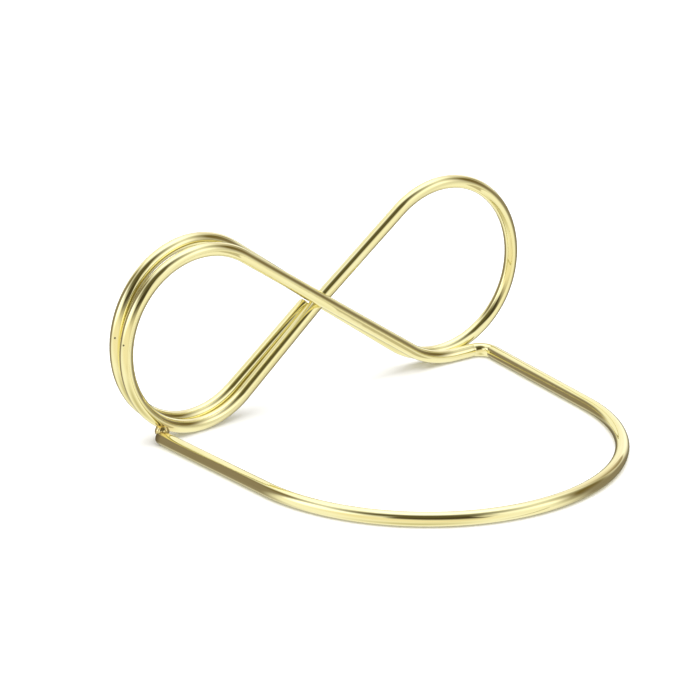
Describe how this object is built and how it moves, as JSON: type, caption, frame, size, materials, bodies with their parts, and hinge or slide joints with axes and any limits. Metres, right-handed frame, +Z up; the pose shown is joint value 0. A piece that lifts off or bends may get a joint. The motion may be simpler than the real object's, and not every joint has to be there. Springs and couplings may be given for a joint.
{
  "type": "table number holder",
  "caption": "Gold wire holder for a table number card: a lying figure-of-eight with a doubled left eye that grips the card, on a U-shaped foot.",
  "frame": {"origin": "on the table, under the middle of the footprint", "axes": "+X along the figure-of-eight towards its single eye, +Y from the bow of the foot to the back, +Z up"},
  "size_m": [0.0924, 0.0726, 0.0366],
  "materials": {
    "gold_wire": "mirror-polished pale gold plate",
    "weld": "plated over a rippled weld bead"
  },
  "bodies": {
    "root": {"tail": "gold_wire", "left_rear_lower_bend": "gold_wire", "left_rear_upper_bend": "gold_wire", "rear_diagonal_top": "gold_wire", "rear_diagonal_spring": "gold_wire", "rear_diagonal_foot": "gold_wire", "right_lower_bend": "gold_wire", "right_upper_bend": "gold_wire", "rising_diagonal_top": "gold_wire", "rising_diagonal_spring": "gold_wire", "rising_diagonal_foot": "gold_wire", "left_front_lower_bend": "gold_wire", "left_front_upper_bend": "gold_wire", "front_diagonal_top": "gold_wire", "front_diagonal_spring": "gold_wire", "front_diagonal_foot": "gold_wire", "levelling_bend": "gold_wire", "heel_run": "gold_wire", "heel_bend": "gold_wire", "right_leg": "gold_wire", "bow_right_half": "gold_wire", "bow_left_half": "gold_wire", "left_leg": "gold_wire", "weld_bead": "weld"}
  },
  "joints": []
}
